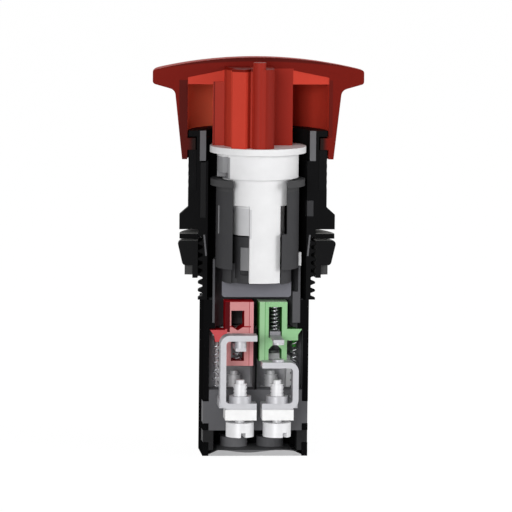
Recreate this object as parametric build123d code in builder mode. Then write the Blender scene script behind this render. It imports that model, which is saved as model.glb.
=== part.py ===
from build123d import *
from math import asin, cos, radians, sin, sqrt
import os

os.makedirs("parts", exist_ok=True)

# Latching mushroom-head pushbutton for a 22 mm panel hole, shown as a cutaway.
# Casings are cut on the plane Y = 0 and keep their rear half, Y > 0.
# Z = 0 is the face that bears on the panel, and +Z points at the operator.

# Fits and clearances
running_gap = 0.08
seat_gap = 0.05
free_gap = 0.3

# Travel of the head, and the turn that releases its latch
push_travel = 4.5
pre_travel = 0.95
release_turn = 30.0

# Latch sleeve
sleeve_top = 15.95
sleeve_bore_r = 4.5
sleeve_core_wall = 0.7
sleeve_wall = 1.45
sleeve_collar_step = 1.05
sleeve_flange_step = 1.4
sleeve_flange_height = 1.2
sleeve_collar_bottom = 10.05
sleeve_skirt_bottom = 5.0
sleeve_core_bottom = -0.75
sleeve_roof = 2.4
recess_x = 6.0
recess_y = 3.5
recess_bottom = 11.1
leg_left = -1.95
leg_right = 3.9
leg_bottom = -9.6

# Latch barrel
barrel_wall = 0.9
barrel_flange_step = 1.09
barrel_flange_height = 1.25
barrel_wall_bottom = -7.07
barrel_foot_step = 1.35
barrel_bottom = -9.9
barrel_floor = 0.9
window_half = 5.15
tab_width = 1.0
tab_top = -0.3
pawl_left = -3.45
pawl_width = 2.35
pawl_bottom = -7.4
pawl_height = 4.4
pawl_depth = 1.6
wire_r = 0.2
wire_angle = 198.0
wire_bottom = -0.5
wire_top = 4.8

# Body tube and panel flange
body_bore_gap = 0.46
shroud_wall = 2.1
body_top = 18.7
body_bottom = -13.4
flange_lip = 1.6
flange_height = 2.8
cone_height = 1.45
thread_wall = 1.74
thread_pitch = 1.5
thread_depth = 0.84
thread_crest = 0.3
thread_root = 0.5
thread_start = -1.3

# Snap groove of the body, snap lug of the head, and the gaiter below the lug
groove_depth = 1.55
lug_height = 2.2
lug_drop = 1.4
gaiter_height = 7.6

# Lip seal, lock bar, locating key and clip ring held in the body
seal_bottom = 13.0
seal_step = 0.45
seal_wall = 1.15
bar_bottom = 2.2
bar_inset = 0.35
bar_thickness = 1.15
bar_depth = 3.0
key_bottom = 2.5
key_height = 3.0
key_length = 1.25
key_depth = 1.6
clip_top = -1.05
clip_bottom = -5.06
clip_top_inset = 0.5
clip_bottom_inset = 0.1
clip_thickness = 0.3

# Mushroom head
cap_r = 20.0
cap_apex = 32.6
dome_r = 83.0
rim_height = 2.55
rim_round = 0.6
root_flare = 1.45
root_drop = 1.2
root_round = 1.4
skirt_drop = 1.8
skirt_wall = 0.95
skirt_gap = 0.25
ceiling_centre = 30.2
ceiling_edge = 28.8
web_bottom = 27.5
web_depth = 1.2
web_setback = 0.15
stem_core_r = 6.5
stem_r = 8.5
stem_top = 30.9
stem_cut_x = 2.5
rib_width = 2.9
rib_pitch = 69.0
low_rib_top = 28.0
first_rib_angle = -121.0
nose_r = 1.2
nose_x = -0.45
nose_y = -7.3
nose_top = 32.2
shoulder_r = 2.1
shoulder_x = 0.4
shoulder_y = -6.3

# Trip spring inside the latch sleeve
trip_spring_r = 3.6
trip_wire_r = 0.4
trip_turns = 8.0

# Pusher plate
plate_lip = 0.08
plate_height = 3.0
plate_round = 0.6

# Guide tube between the body and the contact block
guide_wall = 0.4
guide_top = -5.7
guide_bottom = -17.8
stop_top = -4.4
stop_height = 2.5
stop_width = 0.5
stop_depth = 2.0
guide_rib_gap = 0.32
guide_rib_depth = 1.5

# Panel gasket and locking nut
gasket_top = -0.85
gasket_height = 0.92
nut_gap = 0.35
nut_height = 4.73
nut_overhang = 0.4
nut_taper = 1.1
nut_round = 0.7
nut_bore_gap = 0.09
nut_sleeve_wall = 0.97
nut_sleeve_drop = 2.4
nut_lug_count = 9
nut_lug_length = 1.4
nut_lug_height = 1.9

# Contact block housing
block_half = 10.0
block_depth = 10.4
block_bottom = -43.3
side_wall = 1.1
rear_wall = 0.8
shelf_bottom = -18.9
rib_thickness = 0.4
channel_gap = 0.2
wire_hole_r = 1.8

# Contact plungers
plunger_inner = 0.5
plunger_outer = 5.9
plunger_depth = 4.7
closed_plunger_bottom = -26.05
open_plunger_bottom = -25.1
slot_width = 2.5
closed_slot_centre = 3.5
open_slot_centre = 3.65
closed_window_top = -15.5
closed_window_bottom = -18.5
closed_window_point = -19.3
closed_slot_top = -21.35
closed_slot_bottom = -25.1
open_window_top = -14.8
open_window_bottom = -20.7
open_arch_round = 1.0
open_arch_top = -21.9
wing_reach = 8.75
wing_depth = 3.2
spring_pin_length = 1.4
closed_wing_top = -19.2
closed_wing_height = 1.0
wing_web_height = 2.3
wing_web_depth = 0.7
wing_web_tip = 0.3
open_wing_top = -19.0
open_wing_height = 2.2

# Return springs under the plunger wings
return_spring_x = 7.4
return_spring_y = 1.6
return_spring_r = 0.6
return_wire_r = 0.16
return_turns = 13.0

# Contact springs, bridges and fixed contacts
contact_spring_r = 0.7
contact_wire_r = 0.12
closed_spring_turns = 4.0
open_spring_turns = 7.0
bridge_width = 2.0
bridge_thickness = 0.6
contact_r = 1.1
contact_height = 0.4
rivet_height = 1.0
contact_gap = 0.02
holder_height = 0.6
holder_depth = 2.4

# Terminal brackets, screws and clamp washers
terminal_x = 3.5
terminal_y = 6.8
bracket_depth = 3.6
bracket_thickness = 1.1
bracket_inner = 0.5
bracket_outer = 7.4
bracket_round = 1.2
closed_arm_top = -19.2
open_arm_top = -24.3
low_arm_top = -32.1
tail_height = 1.6
tail_depth = 1.0
boss_r = 2.1
boss_height = 1.3
screw_r = 1.27
screw_top = -28.5
tip_r = 0.8
tip_height = 0.7
washer_width = 5.9
washer_depth = 4.8
washer_height = 2.0
screw_pitch = 0.7
screw_groove = 0.15
neck_r = 0.9
neck_height = 0.6
head_r = 2.65
head_height = 2.7
driver_slot = 0.9
driver_depth = 0.9
closed_slot_angle = 10.0
open_slot_angle = 30.0

# Terminal carrier and base cover
carrier_top = -30.6
carrier_bottom = -38.4
carrier_depth = 3.9
tab_bottom = -37.05
tab_height = 4.2
clip_arm = 0.9
clip_head_bottom = -40.65
cover_height = 1.1
cover_edge = 0.3
cover_slope = 1.8
access_r = 1.6
screw_guide_r = 2.6
screw_guide_height = 1.8

# Radii that follow, from the push axis outwards
sleeve_core_r = sleeve_bore_r + sleeve_core_wall
sleeve_r = sleeve_core_r + sleeve_wall
sleeve_collar_r = sleeve_r + sleeve_collar_step
sleeve_flange_r = sleeve_collar_r + sleeve_flange_step
cup_r = sleeve_core_r - free_gap
barrel_bore_r = sleeve_r + free_gap
barrel_r = barrel_bore_r + barrel_wall
barrel_flange_r = barrel_r + barrel_flange_step
barrel_foot_r = barrel_r - barrel_foot_step
plate_r = barrel_foot_r + plate_lip
guide_bore_r = barrel_r + running_gap
guide_r = guide_bore_r + guide_wall
shelf_hole_r = barrel_r
body_bore_r = barrel_flange_r + body_bore_gap
seal_inner_r = body_bore_r + seal_step
seal_outer_r = seal_inner_r + seal_wall
body_r = seal_outer_r + seat_gap + shroud_wall
groove_r = body_r - groove_depth
flange_r = body_r + flange_lip
thread_r = body_bore_r + thread_wall
thread_root_r = thread_r - thread_depth
clip_top_r = body_bore_r + clip_top_inset
clip_bottom_r = body_bore_r + clip_bottom_inset
bar_inner_x = body_bore_r + bar_inset
bar_outer_x = bar_inner_x + bar_thickness
nut_bore_r = thread_r + nut_bore_gap
nut_sleeve_r = nut_bore_r + nut_sleeve_wall
nut_r = flange_r + nut_overhang
nut_low_r = nut_r - nut_taper
skirt_bore_r = body_r + skirt_gap
skirt_bottom_r = skirt_bore_r + skirt_wall
root_r = skirt_bottom_r + root_flare
lug_r = groove_r + skirt_gap

# Heights and widths that follow
lug_top = body_top - lug_drop
lug_bottom = lug_top - lug_height
groove_bottom = lug_bottom - gaiter_height
skirt_bottom = lug_bottom - skirt_drop
rim_top = cap_apex - dome_r + sqrt(dome_r**2 - cap_r**2)
rim_bottom = rim_top - rim_height
barrel_top = sleeve_collar_bottom - free_gap
cup_top = sleeve_core_bottom - free_gap
leg_turned = asin(-leg_left / sleeve_core_r) + radians(release_turn)
leg_sweep_y = sleeve_core_r * cos(leg_turned) - free_gap
plate_top = barrel_bottom
plate_bottom = plate_top - plate_height
plunger_top = plate_bottom - pre_travel
nut_top = gasket_top - gasket_height - nut_gap
nut_bottom = nut_top - nut_height
cavity_half = block_half - side_wall
cavity_depth = block_depth - rear_wall
low_arm_bottom = low_arm_top - bracket_thickness
washer_bottom = low_arm_bottom - washer_height
screw_hole_r = screw_r + seat_gap
cover_top = block_bottom + cover_height


def dome_height(radius):
    """Height of the domed outer face at a distance from the push axis."""
    return cap_apex - dome_r + sqrt(dome_r**2 - radius**2)


def ring_face(inner_r, outer_r, bottom, top, mode=Mode.ADD):
    """Draw or cut a ring's rectangular section in the open sketch on the XZ plane."""
    middle = ((inner_r + outer_r) / 2, (bottom + top) / 2)
    with Locations(middle):
        Rectangle(outer_r - inner_r, top - bottom, mode=mode)


def box_between(x_range, y_range, z_range, mode=Mode.ADD):
    """Add or cut a block given by its lowest and highest X, Y and Z."""
    centre = tuple((low + high) / 2 for low, high in (x_range, y_range, z_range))
    with Locations(centre):
        Box(x_range[1] - x_range[0], y_range[1] - y_range[0], z_range[1] - z_range[0], mode=mode)


def side_range(side, inner, outer):
    """Lowest and highest X of a piece that lies from inner to outer on one side."""
    return tuple(sorted((side * inner, side * outer)))


def coil(centre, coil_r, wire, bottom, top, turns):
    """A round-wire compression spring that fills the height from bottom to top."""
    lift = top - bottom - 2 * wire
    with BuildPart() as spring:
        with BuildLine():
            path = Helix(lift / turns, lift, coil_r, center=(*centre, bottom + wire))
        with BuildSketch(Plane(origin=path @ 0, z_dir=path % 0)):
            Circle(wire)
        sweep(path=path, is_frenet=True)
    return spring.part


# Mushroom head: domed cap, skirt with snap lug, two webs and the ribbed stem, whose
# front right quarter is cut away
with BuildPart() as mushroom_head:
    with BuildSketch(Plane.XZ):
        with BuildLine():
            ThreePointArc((0, cap_apex), (cap_r / 2, dome_height(cap_r / 2)), (cap_r, rim_top))
            Line((cap_r, rim_top), (cap_r, rim_bottom))
            FilletPolyline(
                (cap_r, rim_bottom),
                (root_r, rim_bottom - root_drop),
                (skirt_bottom_r, skirt_bottom),
                radius=root_round,
            )
            Polyline(
                (skirt_bottom_r, skirt_bottom),
                (skirt_bore_r, skirt_bottom),
                (skirt_bore_r, lug_bottom),
                (lug_r, lug_bottom),
                (lug_r, lug_top),
                (skirt_bore_r, lug_top),
                (skirt_bore_r, ceiling_edge),
                (stem_core_r, ceiling_centre),
                (0, ceiling_centre),
                (0, cap_apex),
            )
        make_face()
        fillet(vertices().filter_by(lambda v: v.X > cap_r - 1e-3), rim_round)
    revolve(axis=Axis.Z, revolution_arc=180)
    for side in (-1, 1):
        box_between(
            side_range(side, stem_core_r - free_gap, skirt_bore_r + skirt_wall / 2),
            (web_setback, web_setback + web_depth),
            (web_bottom, ceiling_centre),
        )
    with BuildSketch(Plane.XY.offset(sleeve_top)):
        Circle(stem_core_r)
        with Locations((shoulder_x, shoulder_y)):
            Circle(shoulder_r)
        with Locations((stem_cut_x, 0)):
            cut_size = 2 * stem_r
            Rectangle(cut_size, cut_size, align=(Align.MIN, Align.MAX), mode=Mode.SUBTRACT)
    extrude(amount=stem_top - sleeve_top)
    for number, rib_top in enumerate((stem_top, low_rib_top, stem_top)):
        with BuildSketch(Plane.XY.offset(sleeve_top)):
            with PolarLocations(stem_core_r, 1, first_rib_angle - number * rib_pitch):
                Rectangle(2 * (stem_r - stem_core_r), rib_width)
        extrude(amount=rib_top - sleeve_top)
    with BuildSketch(Plane.XY.offset(sleeve_top)):
        with Locations((nose_x, nose_y)):
            Circle(nose_r)
    extrude(amount=nose_top - sleeve_top)
mushroom_head.part.label = "mushroom_head"
export_step(mushroom_head.part, "parts/mushroom_head.step")

# Latch sleeve: flange and recessed collar under the stem, hollow core and one long leg
with BuildPart() as latch_sleeve:
    with BuildSketch(Plane.XZ):
        ring_face(0, sleeve_flange_r, sleeve_top - sleeve_flange_height, sleeve_top)
        ring_face(0, sleeve_collar_r, sleeve_collar_bottom, sleeve_top)
        ring_face(0, sleeve_r, sleeve_skirt_bottom, sleeve_top)
        ring_face(0, sleeve_core_r, sleeve_core_bottom, sleeve_top)
        ring_face(0, sleeve_bore_r, sleeve_core_bottom, sleeve_top - sleeve_roof)
    revolve(axis=Axis.Z)
    with BuildSketch(Plane.XY.offset(leg_bottom)):
        Circle(sleeve_r)
        Circle(sleeve_core_r, mode=Mode.SUBTRACT)
        leg_middle = ((leg_left + leg_right) / 2, -sleeve_r / 2)
        with Locations(leg_middle):
            Rectangle(leg_right - leg_left, sleeve_r, mode=Mode.INTERSECT)
    extrude(amount=sleeve_skirt_bottom - leg_bottom)
    with Locations((0, 0, sleeve_core_bottom)):
        bore_height = sleeve_top - sleeve_roof - sleeve_core_bottom
        bore_align = (Align.CENTER, Align.CENTER, Align.MIN)
        Cylinder(sleeve_bore_r, bore_height, align=bore_align, mode=Mode.SUBTRACT)
    box_between(
        (-sleeve_flange_r, -recess_x),
        (-sleeve_flange_r, -recess_y),
        (recess_bottom, sleeve_top - sleeve_flange_height),
        mode=Mode.SUBTRACT,
    )
    box_between(
        (-sleeve_flange_r, -recess_x),
        (-sleeve_flange_r, 0),
        (sleeve_collar_bottom, recess_bottom),
        mode=Mode.SUBTRACT,
    )
latch_sleeve.part.label = "latch_sleeve"
export_step(latch_sleeve.part, "parts/latch_sleeve.step")

# Latch barrel: flanged tube with a front window, a foot and a spring cup
wire_x = barrel_r * cos(radians(wire_angle))
wire_y = barrel_r * sin(radians(wire_angle))
window_reach = barrel_flange_r + free_gap
with BuildPart() as latch_barrel:
    with BuildSketch(Plane.XZ):
        ring_face(barrel_bore_r, barrel_flange_r, barrel_top - barrel_flange_height, barrel_top)
        ring_face(barrel_bore_r, barrel_r, barrel_wall_bottom, barrel_top)
        with BuildLine():
            foot_bore_r = cup_r + free_gap
            Polyline(
                (foot_bore_r, barrel_bottom),
                (barrel_foot_r, barrel_bottom),
                (barrel_foot_r, barrel_wall_bottom),
                (barrel_r, barrel_wall_bottom),
                (barrel_r, barrel_wall_bottom + barrel_floor),
                (foot_bore_r, barrel_wall_bottom + barrel_floor),
                close=True,
            )
        make_face()
    revolve(axis=Axis.Z)
    box_between(
        (-window_half, window_half - tab_width),
        (-window_reach, -leg_sweep_y),
        (barrel_bottom - free_gap, barrel_top - barrel_flange_height),
        mode=Mode.SUBTRACT,
    )
    box_between(
        (-window_half, window_half),
        (-window_reach, -leg_sweep_y),
        (tab_top, barrel_top + free_gap),
        mode=Mode.SUBTRACT,
    )
    with BuildSketch(Plane.XY.offset(barrel_bottom)):
        Circle(cup_r)
    extrude(amount=cup_top - barrel_bottom)
    with BuildSketch(Plane.XY.offset(barrel_bottom)):
        Circle(barrel_foot_r)
        with Locations((0, -leg_sweep_y)):
            foot_align = (Align.CENTER, Align.MAX)
            Rectangle(2 * barrel_foot_r, barrel_foot_r, align=foot_align, mode=Mode.SUBTRACT)
    extrude(amount=barrel_floor)
    box_between(
        (pawl_left, pawl_left + pawl_width),
        (-cup_r - free_gap, -cup_r + pawl_depth + seat_gap),
        (pawl_bottom - barrel_floor, pawl_bottom + pawl_height),
        mode=Mode.SUBTRACT,
    )
    with Locations((wire_x, wire_y, (wire_bottom + wire_top) / 2)):
        Cylinder(wire_r + seat_gap, wire_top - wire_bottom, mode=Mode.SUBTRACT)
latch_barrel.part.label = "latch_barrel"
export_step(latch_barrel.part, "parts/latch_barrel.step")

# Latch pawl in the window of the spring cup
pawl_x = (pawl_left + seat_gap, pawl_left + pawl_width - seat_gap)
with BuildPart() as latch_pawl:
    with BuildSketch(Plane.XY.offset(pawl_bottom)):
        Circle(cup_r)
        with Locations((sum(pawl_x) / 2, -cup_r)):
            Rectangle(pawl_x[1] - pawl_x[0], 2 * pawl_depth, mode=Mode.INTERSECT)
    extrude(amount=pawl_height - seat_gap)
latch_pawl.part.label = "latch_pawl"
export_step(latch_pawl.part, "parts/latch_pawl.step")

# Lock wire in the groove of the barrel wall
with BuildPart() as lock_wire:
    with Locations((wire_x, wire_y, (wire_bottom + wire_top) / 2)):
        Cylinder(wire_r, wire_top - wire_bottom)
lock_wire.part.label = "lock_wire"
export_step(lock_wire.part, "parts/lock_wire.step")

# Trip spring between the spring cup and the roof of the latch sleeve
trip_top = sleeve_top - sleeve_roof - seat_gap
trip_spring = coil((0, 0), trip_spring_r, trip_wire_r, cup_top, trip_top, trip_turns)
trip_spring.label = "trip_spring"
export_step(trip_spring, "parts/trip_spring.step")

# Pusher plate under the barrel, cut on the section plane
with BuildPart() as pusher_plate:
    with BuildSketch(Plane.XZ):
        ring_face(0, plate_r, plate_bottom, plate_top)
        fillet(vertices().group_by(Axis.Y)[0].sort_by(Axis.X)[-1], plate_round)
    revolve(axis=Axis.Z, revolution_arc=180)
pusher_plate.part.label = "pusher_plate"
export_step(pusher_plate.part, "parts/pusher_plate.step")

# Body tube: shroud inside the head, panel flange, and thread for the locking nut
with BuildPart() as body_tube:
    with BuildSketch(Plane.XZ):
        with BuildLine():
            Polyline(
                (body_bore_r, body_bottom),
                (body_bore_r, seal_bottom),
                (seal_outer_r + seat_gap, seal_bottom),
                (seal_outer_r + seat_gap, body_top),
                (body_r, body_top),
                (body_r, lug_top + free_gap),
                (groove_r, lug_top + free_gap),
                (groove_r, groove_bottom),
                (body_r, groove_bottom),
                (body_r, flange_height + cone_height),
                (flange_r, flange_height),
                (flange_r, 0),
                (thread_r, 0),
                (thread_r, thread_start),
            )
            flank = (thread_pitch - thread_crest - thread_root) / 2
            thread_count = int((thread_start - body_bottom) / thread_pitch)
            for turn in range(thread_count):
                crest = thread_start - turn * thread_pitch
                Polyline(
                    (thread_r, crest),
                    (thread_root_r, crest - flank),
                    (thread_root_r, crest - flank - thread_root),
                    (thread_r, crest - thread_pitch + thread_crest),
                    (thread_r, crest - thread_pitch),
                )
            Polyline(
                (thread_r, thread_start - thread_count * thread_pitch),
                (thread_r, body_bottom),
                (body_bore_r, body_bottom),
            )
        make_face()
        with BuildLine():
            Polyline(
                (clip_top_r, clip_top),
                (clip_top_r + clip_thickness, clip_top),
                (clip_bottom_r + clip_thickness, clip_bottom),
                (clip_bottom_r, clip_bottom),
                close=True,
            )
        make_face(mode=Mode.SUBTRACT)
    revolve(axis=Axis.Z, revolution_arc=180)
    box_between(
        (-bar_outer_x, -bar_inner_x), (0, bar_depth), (bar_bottom, seal_bottom), mode=Mode.SUBTRACT
    )
    box_between(
        (body_bore_r - free_gap, body_bore_r + seat_gap + key_length),
        (0, key_depth),
        (key_bottom, key_bottom + key_height),
        mode=Mode.SUBTRACT,
    )
body_tube.part.label = "body_tube"
export_step(body_tube.part, "parts/body_tube.step")

# Gaiter: soft ring in the groove that closes the travel of the lug
with BuildPart() as dust_gaiter:
    with BuildSketch(Plane.XZ):
        ring_face(groove_r + seat_gap, body_r, groove_bottom, lug_bottom - seat_gap)
    revolve(axis=Axis.Z, revolution_arc=180)
dust_gaiter.part.label = "dust_gaiter"
export_step(dust_gaiter.part, "parts/dust_gaiter.step")

# Lip seal in the mouth of the body
with BuildPart() as lip_seal:
    with BuildSketch(Plane.XZ):
        ring_face(seal_inner_r, seal_outer_r, seal_bottom, body_top)
    revolve(axis=Axis.Z, revolution_arc=180)
lip_seal.part.label = "lip_seal"
export_step(lip_seal.part, "parts/lip_seal.step")

# Lock bar in the left wall of the body
with BuildPart() as lock_bar:
    box_between(
        (-bar_outer_x + seat_gap, -bar_inner_x - seat_gap),
        (0, bar_depth - seat_gap),
        (bar_bottom, seal_bottom - free_gap),
    )
lock_bar.part.label = "lock_bar"
export_step(lock_bar.part, "parts/lock_bar.step")

# Locating key in the right wall of the body
with BuildPart() as locating_key:
    box_between(
        (body_bore_r + seat_gap, body_bore_r + key_length),
        (0, key_depth - seat_gap),
        (key_bottom, key_bottom + key_height - seat_gap),
    )
locating_key.part.label = "locating_key"
export_step(locating_key.part, "parts/locating_key.step")

# Conical clip ring in the wall of the body behind the nut
with BuildPart() as clip_ring:
    with BuildSketch(Plane.XZ):
        with BuildLine():
            Polyline(
                (clip_top_r, clip_top),
                (clip_top_r + clip_thickness, clip_top),
                (clip_bottom_r + clip_thickness, clip_bottom),
                (clip_bottom_r, clip_bottom),
                close=True,
            )
        make_face()
    revolve(axis=Axis.Z, revolution_arc=180)
clip_ring.part.label = "clip_ring"
export_step(clip_ring.part, "parts/clip_ring.step")

# Guide tube that carries the barrel and reaches down into the contact block, with a rib
# beside the pusher plate
with BuildPart() as guide_tube:
    with BuildSketch(Plane.XZ):
        ring_face(guide_bore_r, guide_r, guide_bottom, guide_top)
    revolve(axis=Axis.Z, revolution_arc=180)
    box_between(
        (guide_bore_r - free_gap, guide_r + free_gap),
        (-free_gap, stop_depth + seat_gap),
        (stop_top - stop_height, guide_top + free_gap),
        mode=Mode.SUBTRACT,
    )
    box_between(
        (plate_r + guide_rib_gap, guide_bore_r + guide_wall / 2),
        (0, guide_rib_depth),
        (guide_bottom, barrel_wall_bottom - push_travel - free_gap),
    )
guide_tube.part.label = "guide_tube"
export_step(guide_tube.part, "parts/guide_tube.step")

# Travel stop that sits in the notch of the guide tube
with BuildPart() as travel_stop:
    box_between(
        (guide_bore_r, guide_bore_r + stop_width),
        (0, stop_depth),
        (stop_top - stop_height, stop_top),
    )
travel_stop.part.label = "travel_stop"
export_step(travel_stop.part, "parts/travel_stop.step")

# Panel gasket between the flange and the nut
with BuildPart() as panel_gasket:
    with BuildSketch(Plane.XZ):
        ring_face(thread_r + seat_gap, flange_r - seat_gap, gasket_top - gasket_height, gasket_top)
    revolve(axis=Axis.Z, revolution_arc=180)
panel_gasket.part.label = "panel_gasket"
export_step(panel_gasket.part, "parts/panel_gasket.step")

# Locking nut: tapered ring with a lower sleeve and spanner lugs
with BuildPart() as locking_nut:
    with BuildSketch(Plane.XZ):
        with BuildLine():
            FilletPolyline(
                (nut_bore_r, nut_top),
                (nut_r, nut_top),
                (nut_low_r, nut_bottom),
                (nut_sleeve_r, nut_bottom),
                radius=nut_round,
            )
            Polyline(
                (nut_sleeve_r, nut_bottom),
                (nut_sleeve_r, nut_bottom - nut_sleeve_drop),
                (nut_bore_r, nut_bottom - nut_sleeve_drop),
                (nut_bore_r, nut_top),
            )
        make_face()
    revolve(axis=Axis.Z, revolution_arc=180)
    lug_pitch = 180 / nut_lug_count
    lug_middle_r = nut_sleeve_r + nut_lug_length / 2
    with BuildSketch(Plane.XY.offset(nut_bottom)):
        with PolarLocations(lug_middle_r, nut_lug_count, lug_pitch / 2, 180):
            Rectangle(nut_lug_length + seat_gap, nut_sleeve_r * radians(lug_pitch) / 2)
    extrude(amount=-nut_lug_height)
locking_nut.part.label = "locking_nut"
export_step(locking_nut.part, "parts/locking_nut.step")

# Contact block housing: rear half of the box, with a shelf, a rib between the poles and a
# rib behind each return spring
with BuildPart() as block_housing:
    box_between((-block_half, block_half), (0, block_depth), (block_bottom, body_bottom))
    box_between(
        (-cavity_half, cavity_half),
        (0, cavity_depth),
        (block_bottom, shelf_bottom),
        mode=Mode.SUBTRACT,
    )
    with Locations((0, 0, (body_bottom + guide_bottom) / 2)):
        Cylinder(guide_r + seat_gap, body_bottom - guide_bottom, mode=Mode.SUBTRACT)
    with Locations((0, 0, shelf_bottom)):
        Cylinder(shelf_hole_r, 2 * (guide_bottom - shelf_bottom), mode=Mode.SUBTRACT)
    box_between(
        (-rib_thickness / 2, rib_thickness / 2),
        (0, cavity_depth),
        (carrier_top, shelf_bottom),
    )
    channel_y = wing_depth + free_gap
    for side in (-1, 1):
        box_between(
            side_range(side, bracket_outer + channel_gap, cavity_half),
            (channel_y, channel_y + rib_thickness),
            (carrier_top, shelf_bottom),
        )
        for low, high in ((tab_bottom, tab_bottom + tab_height), (clip_head_bottom, carrier_bottom)):
            box_between(
                side_range(side, cavity_half - free_gap, block_half + free_gap),
                (-free_gap, carrier_depth + seat_gap),
                (low - seat_gap, high + seat_gap),
                mode=Mode.SUBTRACT,
            )
        with BuildSketch(Plane.XZ.offset(-block_depth)):
            with Locations((side * terminal_x, low_arm_bottom)):
                Circle(wire_hole_r)
        extrude(amount=rear_wall + free_gap, mode=Mode.SUBTRACT)
block_housing.part.label = "block_housing"
export_step(block_housing.part, "parts/block_housing.step")

# Terminal carrier: grey wall between the front and rear terminals, on two legs that clip
# into the sides of the block
leg_outer = bracket_outer
leg_inner = bracket_outer - bracket_thickness
tail_range = (low_arm_bottom, low_arm_bottom + tail_height)
with BuildPart() as terminal_carrier:
    carrier_half = cavity_half - seat_gap
    box_between(
        (-carrier_half, carrier_half), (0, carrier_depth), (carrier_bottom, carrier_top)
    )
    box_between(
        (-block_half + seat_gap, block_half - seat_gap),
        (0, carrier_depth),
        (tab_bottom, tab_bottom + tab_height),
    )
    for side in (-1, 1):
        box_between(
            side_range(side, carrier_half - clip_arm, carrier_half),
            (0, carrier_depth),
            (cover_top, carrier_bottom),
        )
        box_between(
            side_range(side, carrier_half - clip_arm, block_half - seat_gap),
            (0, carrier_depth),
            (clip_head_bottom, carrier_bottom),
        )
        for slot_y in ((-free_gap, tail_depth), (carrier_depth - tail_depth, carrier_depth + free_gap)):
            box_between(
                side_range(side, leg_inner - seat_gap, leg_outer + seat_gap),
                slot_y,
                (tail_range[0] - seat_gap, tail_range[1] + seat_gap),
                mode=Mode.SUBTRACT,
            )
terminal_carrier.part.label = "terminal_carrier"
export_step(terminal_carrier.part, "parts/terminal_carrier.step")

# Base cover: light plate that closes the block, with access holes to the rear screws
with BuildPart() as base_cover:
    cover_half = cavity_half - seat_gap
    with BuildSketch(Plane.XZ):
        with BuildLine():
            Polyline(
                (-cover_half, block_bottom),
                (cover_half, block_bottom),
                (cover_half, block_bottom + cover_edge),
                (cover_half - cover_slope, cover_top),
                (-cover_half + cover_slope, cover_top),
                (-cover_half, block_bottom + cover_edge),
                close=True,
            )
        make_face()
    extrude(amount=-(cavity_depth - seat_gap))
    with BuildSketch(Plane.XY.offset(block_bottom)):
        with Locations(*[(side * terminal_x, terminal_y) for side in (-1, 1)]):
            Circle(access_r)
    extrude(amount=cover_height, mode=Mode.SUBTRACT)
base_cover.part.label = "base_cover"
export_step(base_cover.part, "parts/base_cover.step")

# Screwdriver guides over the access holes
with BuildPart() as screw_guides:
    with BuildSketch(Plane.XY.offset(cover_top)):
        with Locations(*[(side * terminal_x, terminal_y) for side in (-1, 1)]):
            Circle(screw_guide_r)
            Circle(access_r, mode=Mode.SUBTRACT)
    extrude(amount=screw_guide_height)
screw_guides.part.label = "screw_guides"
export_step(screw_guides.part, "parts/screw_guides.step")

# Plunger of the normally closed contact, on the left
with BuildPart() as closed_plunger:
    box_between(
        (-plunger_outer, -plunger_inner), (0, plunger_depth), (closed_plunger_bottom, plunger_top)
    )
    slot_left = -closed_slot_centre - slot_width / 2
    slot_right = -closed_slot_centre + slot_width / 2
    with BuildSketch(Plane.XZ):
        with BuildLine():
            Polyline(
                (slot_left, closed_window_top),
                (slot_right, closed_window_top),
                (slot_right, closed_window_bottom),
                (-closed_slot_centre, closed_window_point),
                (slot_left, closed_window_bottom),
                close=True,
            )
        make_face()
        with BuildLine():
            Polyline(
                (slot_left, closed_slot_top),
                (slot_right, closed_slot_top),
                (slot_right, closed_slot_bottom),
                (slot_left, closed_slot_bottom),
                close=True,
            )
        make_face()
    extrude(amount=-plunger_depth, mode=Mode.SUBTRACT)
    closed_wing_bottom = closed_wing_top - closed_wing_height
    with BuildSketch(Plane.XZ):
        with BuildLine():
            Polyline(
                (-plunger_outer, closed_wing_top),
                (-wing_reach, closed_wing_top),
                (-return_spring_x - return_spring_r, closed_wing_bottom),
                (-plunger_outer, closed_wing_bottom),
                close=True,
            )
        make_face()
    extrude(amount=-wing_depth)
    with BuildSketch(Plane.XZ):
        with BuildLine():
            Polyline(
                (-plunger_outer, closed_wing_bottom),
                (-return_spring_x + wing_web_tip, closed_wing_top - wing_web_height),
                (-return_spring_x - wing_web_tip, closed_wing_top - wing_web_height),
                (-return_spring_x - return_spring_r, closed_wing_bottom),
                close=True,
            )
        make_face()
    extrude(amount=-wing_web_depth)
    pin_r = return_spring_r - return_wire_r - seat_gap
    with Locations((-return_spring_x, return_spring_y, closed_wing_bottom)):
        Cylinder(pin_r, spring_pin_length, align=(Align.CENTER, Align.CENTER, Align.MAX))
closed_plunger.part.label = "closed_plunger"
export_step(closed_plunger.part, "parts/closed_plunger.step")

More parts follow.
